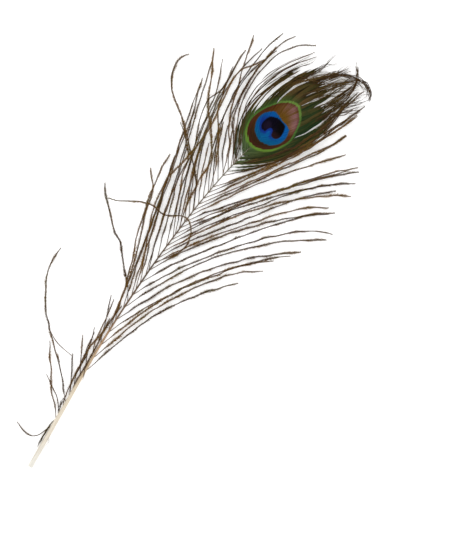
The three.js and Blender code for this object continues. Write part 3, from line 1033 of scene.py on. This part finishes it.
def buildEyeZones():
    # the eye's rings as masks, in millimetres from the eye's middle
    tree = bpy.data.node_groups.new("eyeZones", "ShaderNodeTree")
    addSockets(tree, "INPUT", [("Shift", "Float")])
    addSockets(tree, "OUTPUT", [
        (name, "Float") for name in (
            "Vane", "Green", "Blue", "Pool", "Heart", "Lobes", "Dark", "Egg", "Up", "Across")])
    add = nodeAdder(tree)
    given = add("NodeGroupInput")
    place = add("ShaderNodeMapping", {
        "Vector": add("ShaderNodeTexCoord").outputs["Object"],
        "Location": tuple(-value for value in inRow(*eyeMiddle, 0))}, vector_type="POINT")
    sized = add("ShaderNodeVectorMath", {0: place, 3: 1000.0}, operation="SCALE")
    flutter = add("ShaderNodeTexNoise", {
        "Vector": sized.outputs[0], "Scale": 0.5, "Detail": 2.0}).outputs["Fac"]
    split = add("ShaderNodeSeparateXYZ", {0: sized.outputs[0]})
    slipped = calc(add, "MULTIPLY_ADD", given.outputs["Shift"], 1000.0, -eyeMarks["flutter"] / 2)
    loose = calc(add, "MULTIPLY_ADD", flutter, eyeMarks["flutter"], slipped)
    aside = calc(add, "MULTIPLY", loose, eyeMarks["flutterAcross"])
    x = calc(add, "ADD", split.outputs["X"], aside)
    y = calc(add, "ADD", split.outputs["Y"], loose)
    # the egg's axis leans to the right, and it narrows upward
    risen = calc(add, "MAXIMUM", calc(add, "ADD", y, eggShape["narrowFrom"]), 0.0)
    narrowing = calc(add, "MULTIPLY_ADD", risen, eggShape["narrowing"], 1.0)
    leaned = calc(add, "MULTIPLY", calc(add, "MULTIPLY_ADD", y, -eggShape["lean"], x), narrowing)

    def oval(name, acrossValue=x):
        centreX, centreY, halfWidth, halfHeight = eyeMarks[name]
        across = calc(add, "DIVIDE", calc(add, "SUBTRACT", acrossValue, centreX), halfWidth)
        up = calc(add, "DIVIDE", calc(add, "SUBTRACT", y, centreY), halfHeight)
        squares = calc(add, "MULTIPLY_ADD", across, across, calc(add, "MULTIPLY", up, up))
        return calc(add, "SQRT", squares)

    egg = oval("egg", leaned)
    lidSlope, lidHeight = eyeMarks["lid"]
    lid = calc(add, "MULTIPLY_ADD", x, lidSlope, calc(add, "SUBTRACT", y, lidHeight))
    pool = calc(add, "SMOOTH_MAX", oval("pool"), calc(add, "MULTIPLY_ADD", lid, 0.1, 1.0), 0.08)
    # the heart is two lobes and the dome over them, less the notch between
    lobes = calc(add, "SMOOTH_MIN", oval("leftLobe"), oval("rightLobe"), 0.1)
    above = calc(add, "MAXIMUM", oval("dome"), calc(add, "MULTIPLY_ADD", y, -0.4, -0.2))
    heart = calc(add, "SMOOTH_MIN", above, lobes, 0.2)
    heart = calc(add, "SMOOTH_MAX", heart, calc(add, "SUBTRACT", 2.0, oval("notch")), 0.1)
    masks = {
        name: between(add, measure, *eyeMarks[edge]) for name, measure, edge in (
            ("Vane", egg, "vaneEdge"), ("Green", egg, "greenEdge"), ("Blue", pool, "blueEdge"),
            ("Heart", heart, "heartEdge"), ("Lobes", lobes, "lobeEdge"))}
    add("NodeGroupOutput", {**masks, "Pool": pool, "Dark": heart, "Egg": egg, "Up": y, "Across": x})
    return tree


featherGrain = buildFeatherGrain()
eyeZones = buildEyeZones()


def grain(add, streak, patch):
    return add("ShaderNodeGroup", {"Streak Size": streak, "Patch Size": patch}, node_tree=featherGrain)


def product(add, *masks):
    result = masks[0]
    for mask in masks[1:]:
        result = calc(add, "MULTIPLY", result, mask)
    return result


def noise(add, vector, scale, detail=2.0):
    return add("ShaderNodeTexNoise", {"Vector": vector, "Scale": scale, "Detail": detail}).outputs["Fac"]


quillLook = {
    # share of the shaft's length from the cut end, colour
    "tints": [
        (0.0, (0.92, 0.91, 0.87)), (0.08, (0.90, 0.86, 0.79)), (0.18, (0.88, 0.83, 0.74)),
        (0.25, (0.80, 0.71, 0.58)), (0.32, (0.70, 0.56, 0.42)), (0.40, (0.42, 0.31, 0.20)),
        (0.50, (0.31, 0.23, 0.14)), (0.62, (0.34, 0.25, 0.15)), (0.70, (0.43, 0.38, 0.32)),
        (0.79, (0.49, 0.47, 0.41)), (0.85, (0.31, 0.28, 0.19)), (1.0, (0.24, 0.24, 0.14))],
    "stain": (0.52, 0.40, 0.28),
    "paintedGrooveShade": (0.40, 0.30, 0.20),
    "pith": (0.62, 0.55, 0.44),
    # metres below the origin to the cut end, and up the shaft to the last tint
    "below": 0.1515,
    "tinted": 0.26,
    # how far the pith's edge lies from the middle of the cut face
    "pithEdge": (0.0009, 0.0006),
}


def quillSurface():
    # ivory at the cut end, tan, then dark brown with a pale line where the barbs begin
    surface, add, shader = newSurface("quillHorn")
    place = add("ShaderNodeTexCoord").outputs["Object"]
    y = add("ShaderNodeSeparateXYZ", {0: place}).outputs["Y"]
    up = calc(add, "DIVIDE", calc(add, "ADD", y, quillLook["below"]), quillLook["tinted"])
    rough = grain(add, 900.0, 60.0)
    shifted = calc(add, "MULTIPLY_ADD", rough.outputs["Tone"], 0.12, calc(add, "SUBTRACT", up, 0.06))
    colour = ramp(add, shifted, [(share, tint(*colour)) for share, colour in quillLook["tints"]])
    # fine grooves, with painted shade in their hollows, and stains run the length of the shaft
    distance = strandFact(add, "distance")
    lengthwise = add("ShaderNodeCombineXYZ", {
        "X": calc(add, "MULTIPLY", strandFact(add, "across"), 0.0016),
        "Y": calc(add, "MULTIPLY", distance, 0.04)}).outputs[0]
    grooves = noise(add, lengthwise, 3200.0, 3.0)
    stains = product(add, between(add, noise(add, lengthwise, 900.0), 0.52, 0.7), 0.3)
    colour = blend(add, stains, colour, tint(*quillLook["stain"]))
    # painted shade: the shaft is darker where the groove relief is low
    grooveShadeMask = product(add, between(add, grooves, 0.5, 0.35), 0.25)
    colour = blend(add, grooveShadeMask, colour, tint(*quillLook["paintedGrooveShade"]))
    # spongy pith shows in the cut face
    (endX, endY), endHalf = shaft["route"][0], shaft["widths"][0][1] / 2
    cutMiddle = inRow(endX, endY, endHalf * shaft["flatCut"])
    fromPith = add("ShaderNodeMapping", {
        "Vector": place, "Location": tuple(-value for value in cutMiddle)}, vector_type="POINT")
    off = add("ShaderNodeVectorMath", {0: fromPith}, operation="LENGTH").outputs["Value"]
    pith = product(add, between(add, distance, 0.00004, 0.0), between(add, off, *quillLook["pithEdge"]))
    colour = blend(add, pith, colour, tint(*quillLook["pith"]))
    tree = surface.node_tree
    tree.links.new(colour, shader.inputs["Base Color"])
    tree.links.new(calc(add, "MULTIPLY_ADD", rough.outputs["Fine"], 0.25, 0.28), shader.inputs["Roughness"])
    relief = add("ShaderNodeBump", {"Height": grooves, "Strength": 0.5, "Distance": 0.0001})
    tree.links.new(relief.outputs[0], shader.inputs["Normal"])
    shader.inputs["Coat Weight"].default_value = 0.15
    shader.inputs["Coat Roughness"].default_value = 0.3
    return surface


herlLook = {
    "ramus": {
        "young": (0.32, 0.21, 0.10), "old": (0.19, 0.11, 0.05), "green": (0.23, 0.20, 0.06),
        "crown": (0.20, 0.14, 0.05), "crownGreen": (0.22, 0.21, 0.09)},
    "barbule": {
        "young": (0.45, 0.33, 0.13), "old": (0.23, 0.15, 0.05), "green": (0.31, 0.30, 0.09),
        "crown": (0.30, 0.21, 0.09), "crownGreen": (0.30, 0.30, 0.13)},
    "root": (0.44, 0.35, 0.25),
    "tip": (0.34, 0.28, 0.17),
    "fringe": (0.58, 0.43, 0.20),
    "paleRoot": 0.06,
}


def herlSurface(name, tints):
    # hue 0 is a bronze herl, hue 1 the olive and brown of the crown
    surface, add, shader = newSurface(name)
    seen = {key: tint(*value) for key, value in tints.items()}
    rough = grain(add, 700.0, 45.0)
    patch = rough.outputs["Tone"]
    hue = strandFact(add, "hue")
    along = strandFact(add, "along")
    varied = calc(add, "MULTIPLY_ADD", patch, 0.8, calc(add, "SUBTRACT", strandFact(add, "tone"), 0.4))
    bronze = blend(add, between(add, varied, 0.2, 0.9), seen["old"], seen["young"])
    bronze = blend(add, product(add, between(add, patch, 0.5, 0.62), 0.55), bronze, seen["green"])
    olive = blend(add, between(add, varied, 0.25, 0.85), seen["crown"], seen["crownGreen"])
    colour = blend(add, hue, bronze, olive)
    unfilled = calc(add, "MULTIPLY_ADD", hue, -0.7, 0.7)
    root = product(add, between(add, along, herlLook["paleRoot"], 0.02), unfilled)
    colour = blend(add, root, colour, tint(*herlLook["root"]))
    tipward = product(add, between(add, along, 0.85, 1.0), 0.3)
    colour = blend(add, tipward, colour, tint(*herlLook["tip"]))
    fringe = product(add, between(add, strandFact(add, "reach"), 0.2, 1.0), 0.4)
    colour = blend(add, fringe, colour, tint(*herlLook["fringe"]))
    tree = surface.node_tree
    tree.links.new(colour, shader.inputs["Base Color"])
    tree.links.new(calc(add, "MULTIPLY_ADD", rough.outputs["Fine"], 0.3, 0.35), shader.inputs["Roughness"])
    shader.inputs["Specular IOR Level"].default_value = 0.12
    return surface


eyeTints = {
    "vaneDark": (0.14, 0.12, 0.05), "vanePale": (0.29, 0.26, 0.13), "vaneGreen": (0.12, 0.22, 0.11),
    "vaneBrown": (0.33, 0.24, 0.13),
    "rust": (0.36, 0.24, 0.15), "haze": (0.23, 0.33, 0.15), "tail": (0.32, 0.39, 0.25),
    "ring": (0.28, 0.41, 0.18), "ringLow": (0.38, 0.52, 0.19), "ringHigh": (0.40, 0.52, 0.23),
    "maroon": (0.21, 0.13, 0.06), "bronze": (0.30, 0.17, 0.06), "gold": (0.40, 0.28, 0.08),
    "mauve": (0.50, 0.35, 0.34), "eggRim": (0.30, 0.13, 0.10), "blue": (0.01, 0.32, 0.60),
    "blueLow": (0.02, 0.34, 0.52), "royal": (0.07, 0.15, 0.50), "teal": (0.04, 0.33, 0.38),
    "heart": (0.015, 0.008, 0.07), "lobes": (0.09, 0.06, 0.14), "heartDark": (0.005, 0.004, 0.012),
    "rosy": (0.17, 0.09, 0.10), "underside": (0.24, 0.20, 0.15), "midrib": (0.10, 0.07, 0.04),
}


def washed(add, colour, name, *masks):
    # one of the eye's tints laid over a colour where every mask allows it
    return blend(add, product(add, *masks), colour, tint(*eyeTints[name]))


# in the tints below, heights and places across are millimetres from the eye's middle, and the
# bronze egg's edge is 1
def openVane(add, zones, streaky):
    # olive, greener to the right and below, rusty just above the ring, paler in the tail
    up, across, egg = zones["Up"], zones["Across"], zones["Egg"]
    colour = washed(add, tint(*eyeTints["vaneDark"]), "vanePale", between(add, streaky, 0.7, 1.25))
    colour = washed(
        add, colour, "vaneBrown", between(add, streaky, 1.05, 1.35), between(add, up, 8.0, 16.0), 0.6)
    colour = washed(
        add, colour, "vaneGreen", between(add, across, 0.0, 12.0), between(add, up, 40.0, 14.0),
        calc(add, "MULTIPLY_ADD", between(add, streaky, 1.35, 0.9), 0.5, 0.3))
    aside = calc(add, "ABSOLUTE", calc(add, "SUBTRACT", across, 3.0))
    colour = washed(
        add, colour, "rust", between(add, up, 12.0, 18.0), between(add, up, 26.0, 19.0),
        between(add, aside, 8.0, 2.0), between(add, streaky, 0.3, 1.2), 0.75)
    colour = washed(
        add, colour, "vaneBrown", between(add, across, -10.0, -15.0), between(add, egg, 1.25, 1.55),
        between(add, streaky, 0.4, 1.1), 0.8)
    colour = washed(add, colour, "haze", between(add, egg, 1.5, 1.05), between(add, across, 12.0, -2.0), 0.7)
    return washed(
        add, colour, "tail", between(add, up, -10.0, -20.0), between(add, across, 6.0, -6.0),
        between(add, streaky, 0.3, 1.2), 0.85)


def greenRing(add, zones):
    up = zones["Up"]
    colour = washed(add, tint(*eyeTints["ring"]), "ringLow", between(add, up, -4.0, -14.0))
    return washed(add, colour, "ringHigh", between(add, up, 8.0, 17.0))


def bronzeEgg(add, zones, streaky):
    # maroon below, orange brown at the left, gold by the lid, mauve at the right
    up, across, egg = zones["Up"], zones["Across"], zones["Egg"]
    colour = washed(add, tint(*eyeTints["maroon"]), "bronze", between(add, up, -14.0, -2.0))
    colour = washed(add, colour, "gold", between(add, across, -9.0, 2.0), between(add, up, -2.0, 5.0))
    colour = washed(
        add, colour, "mauve", between(add, egg, 0.45, 0.85), between(add, across, -5.0, 6.0),
        between(add, up, -2.0, 7.0), between(add, streaky, 0.3, 1.1))
    return washed(add, colour, "eggRim", between(add, egg, 0.84, 1.0), 0.6)


def bluePool(add, zones):
    up, across = zones["Up"], zones["Across"]
    colour = washed(add, tint(*eyeTints["blueLow"]), "blue", between(add, up, -12.0, -2.0))
    colour = washed(
        add, colour, "royal", between(add, zones["Dark"], 1.7, 1.15), between(add, up, 6.0, -3.0),
        between(add, across, 7.0, 0.0), 0.85)
    return washed(add, colour, "teal", between(add, zones["Pool"], 0.88, 1.0), 0.5)


def darkHeart(add, zones):
    up, across = zones["Up"], zones["Across"]
    colour = washed(add, tint(*eyeTints["heart"]), "lobes", zones["Lobes"])
    colour = washed(add, colour, "heartDark", between(add, across, -1.0, 4.0))
    return washed(add, colour, "rosy", between(add, up, -2.0, -5.5), between(add, across, -1.0, 3.0), 0.7)


def vaneSurface():
    # the eye: green ring, bronze egg, blue pool and dark heart over an olive vane
    surface, add, shader = newSurface("eyeVane")
    zones = add("ShaderNodeGroup", {"Shift": strandFact(add, "shift")}, node_tree=eyeZones).outputs
    rough = grain(add, 900.0, 80.0)
    tone = strandFact(add, "tone")
    streaky = calc(add, "ADD", tone, rough.outputs["Tone"])
    colour = blend(add, zones["Vane"], greenRing(add, zones), openVane(add, zones, streaky))
    colour = blend(add, zones["Green"], bronzeEgg(add, zones, streaky), colour)
    colour = blend(add, zones["Blue"], colour, bluePool(add, zones))
    colour = blend(add, zones["Heart"], colour, darkHeart(add, zones))
    # each barb is painted darker toward its edges as shade between the barbs, its tone differs at random,
    # and its barbules make fine slanting lines
    sideways = calc(add, "ABSOLUTE", strandFact(add, "across"))
    leaning = calc(add, "MULTIPLY", sideways, 5.0)
    slant = calc(add, "MULTIPLY_ADD", strandFact(add, "distance"), 21000.0, leaning)
    lines = calc(add, "MULTIPLY_ADD", calc(add, "SINE", slant), 0.5, 0.5)
    shade = product(
        add, calc(add, "MULTIPLY_ADD", sideways, -0.25, 1.05), calc(add, "MULTIPLY_ADD", tone, 0.22, 0.89),
        calc(add, "MULTIPLY_ADD", lines, 0.16, 0.92))
    grey = add("ShaderNodeCombineColor", {0: shade, 1: shade, 2: shade}).outputs[0]
    colour = blend(add, 1.0, colour, grey, "MULTIPLY")
    colour = washed(add, colour, "midrib", between(add, sideways, 0.16, 0.04), 0.45)
    # seen at a slant the colours slide toward blue
    slanted = between(add, add("ShaderNodeLayerWeight", {"Blend": 0.5}).outputs["Facing"], 0.35, 0.95)
    colour = add("ShaderNodeHueSaturation", {
        "Hue": calc(add, "MULTIPLY_ADD", slanted, 0.05, 0.5), "Color": colour}).outputs[0]
    colour = washed(add, colour, "underside", strandFact(add, "under"), 0.85)
    tree = surface.node_tree
    tree.links.new(colour, shader.inputs["Base Color"])
    relief = add("ShaderNodeBump", {"Height": lines, "Strength": 0.3, "Distance": 0.00008})
    tree.links.new(relief.outputs[0], shader.inputs["Normal"])
    tree.links.new(calc(add, "MULTIPLY_ADD", rough.outputs["Fine"], 0.2, 0.4), shader.inputs["Roughness"])
    shader.inputs["Specular IOR Level"].default_value = 0.03
    return surface


quillHorn = quillSurface()
herlRamus = herlSurface("herlRamus", herlLook["ramus"])
herlBarbule = herlSurface("herlBarbule", herlLook["barbule"])
eyeVane = vaneSurface()
print("surfaces ready")


# growing the pieces
sweepStrands = buildSweepStrands()
growHerls = buildGrowHerls(sweepStrands)
shaftOutline = outlineObject("shaftOutline", [
    (-0.86, -0.5), (-1.0, -0.1), (-0.93, 0.36), (-0.7, 0.71), (-0.36, 0.93), (0.0, 1.0), (0.36, 0.93),
    (0.7, 0.71), (0.93, 0.36), (1.0, -0.1), (0.86, -0.5), (0.5, -0.7), (0.2, -0.62), (-0.2, -0.62),
    (-0.5, -0.7)])
ribbonOutline = outlineObject("ribbonOutline", [
    (-1.0, 0.0), (0.0, 0.14), (1.0, 0.0), (1.0, -0.06), (0.0, -0.1), (-1.0, -0.06)])
ramusOutline = outlineObject("ramusOutline", [(-1.0, 0.0), (-0.4, 0.8), (0.4, 0.8), (1.0, 0.0), (0.0, -0.9)])


def barbuleObject():
    # one barbule of unit length along y, arched a little, its reach running from 0 to 1
    mesh = bpy.data.meshes.new("barbule")
    mesh.from_pydata(
        [(-0.045, 0.0, 0.0), (0.045, 0.0, 0.0), (0.04, 0.6, 0.07), (-0.04, 0.6, 0.07), (0.0, 1.0, 0.02)], [],
        [(0, 1, 2, 3), (3, 2, 4)])
    reaches = [point.co.y for point in mesh.vertices]
    mesh.attributes.new("reach", "FLOAT", "POINT").data.foreach_set("value", reaches)
    helper = bpy.data.objects.new("barbule", mesh)
    bpy.context.scene.collection.objects.link(helper)
    return helper


def shaftStrand():
    points, length = evenly(shaftPath, shaft["stepMm"])
    halves = [shaftWidthAt(y) / 2 for (x, y), share in points]
    return {
        "places": [inRow(x, y, half * shaft["flatCut"]) for ((x, y), share), half in zip(points, halves)],
        "halfWidth": [half * mm for half in halves],
        "along": [share for place, share in points],
    }


def stands(piece, slotName, *starts):
    # the piece shows in place of every node whose name starts so
    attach(piece, "root")
    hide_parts(*[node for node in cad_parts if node.startswith(starts)])


barbule = barbuleObject()
herlInputs = {
    "Outline": ramusOutline, "Barbule": barbule, "Spacing": herl["spacing"], "Lean": herl["lean"],
    "Scatter": herl["scatter"], "Ramus Surface": herlRamus, "Barbule Surface": herlBarbule}
crownInputs = {**herlInputs, "Spacing": herl["crownSpacing"]}
ribbons, freeEnds = fanStrands()

quill = grow("quill", [shaftStrand()], sweepStrands, {"Outline": shaftOutline, "Surface": quillHorn})
leftHerls = grow("leftHerls", rowStrands(leftRow), growHerls, herlInputs)
rightHerls = grow("rightHerls", rowStrands(rightRow), growHerls, herlInputs)
strayHerls = grow("strayHerls", strayStrands(), growHerls, herlInputs)
eyeRibbons = grow("eyeRibbons", ribbons, sweepStrands, {"Outline": ribbonOutline, "Surface": eyeVane})
crownHerls = grow("crownHerls", freeEnds + tangleStrands(), growHerls, crownInputs)
for piece in (quill, eyeRibbons):
    piece.data.shade_smooth()
for helper in (shaftOutline, ribbonOutline, ramusOutline, barbule):
    bpy.data.objects.remove(helper)

stands(quill, "horn_shaft", "shaft")
stands(leftHerls, "herl", "left_barb")
stands(rightHerls, "herl", "right_barb")
stands(strayHerls, "herl", "loose_barb", "short_barb")
stands(eyeRibbons, "eye_vane", "eye")
stands(crownHerls, "crown_barbs", "crown_lock")
print("pieces on the frame")


# the surface it lies on, light and camera
studio = {
    "floorSize": 3.0,
    "floorGap": 0.0002,
    "floorGlow": 0.28,
    "roomLight": 0.8,
    "lens": 100.0,
    "distance": 0.892,
    "roll": 35.26,
    "aim": (27.4, 155.9),
    "lamps": {
        # place, size, power
        "windowLight": ((-0.9, 0.6, 1.4), 1.4, 10.5),
        "fillLight": ((1.1, -0.5, 1.3), 1.6, 4.8)},
}


def floorSurface():
    surface, add, shader = newSurface("paleTable")
    mottle = product(add, grain(add, 300.0, 8.0).outputs["Tone"], 0.3)
    colour = blend(add, mottle, tint(0.99, 0.99, 0.99), tint(0.97, 0.97, 0.97))
    surface.node_tree.links.new(colour, shader.inputs["Base Color"])
    shader.inputs["Roughness"].default_value = 0.8
    shader.inputs["Emission Color"].default_value = (1.0, 1.0, 1.0, 1.0)
    shader.inputs["Emission Strength"].default_value = studio["floorGlow"]
    return surface


def layTable():
    half = studio["floorSize"] / 2
    mesh = bpy.data.meshes.new("table")
    corners = [(-half, -half, 0), (half, -half, 0), (half, half, 0), (-half, half, 0)]
    mesh.from_pydata(corners, [], [(0, 1, 2, 3)])
    table = bpy.data.objects.new("table", mesh)
    table.location.z = -studio["floorGap"]
    mesh.materials.append(floorSurface())
    bpy.context.scene.collection.objects.link(table)


def softLight(name, place, size, power):
    lamp = bpy.data.lights.new(name, "AREA")
    lamp.size = size
    lamp.energy = power
    light = bpy.data.objects.new(name, lamp)
    light.location = place
    light.rotation_euler = (-Vector(place)).to_track_quat("-Z", "Y").to_euler()
    bpy.context.scene.collection.objects.link(light)


def lightRoom(scene):
    world = bpy.data.worlds.new("softRoom")
    world.use_nodes = True
    room = world.node_tree.nodes["Background"].inputs
    room["Color"].default_value = (1.0, 1.0, 1.0, 1.0)
    room["Strength"].default_value = studio["roomLight"]
    scene.world = world
    scene.view_settings.view_transform = "Standard"
    for name, settings in studio["lamps"].items():
        softLight(name, *settings)


def placeCamera(scene):
    lens = bpy.data.cameras.new("overhead")
    lens.lens = studio["lens"]
    camera = bpy.data.objects.new("overhead", lens)
    camera.location = inRow(*studio["aim"], studio["distance"] / mm)
    camera.rotation_euler = (0.0, 0.0, math.radians(studio["roll"]))
    scene.collection.objects.link(camera)
    scene.camera = camera


layTable()
lightRoom(bpy.context.scene)
placeCamera(bpy.context.scene)
print("studio ready")
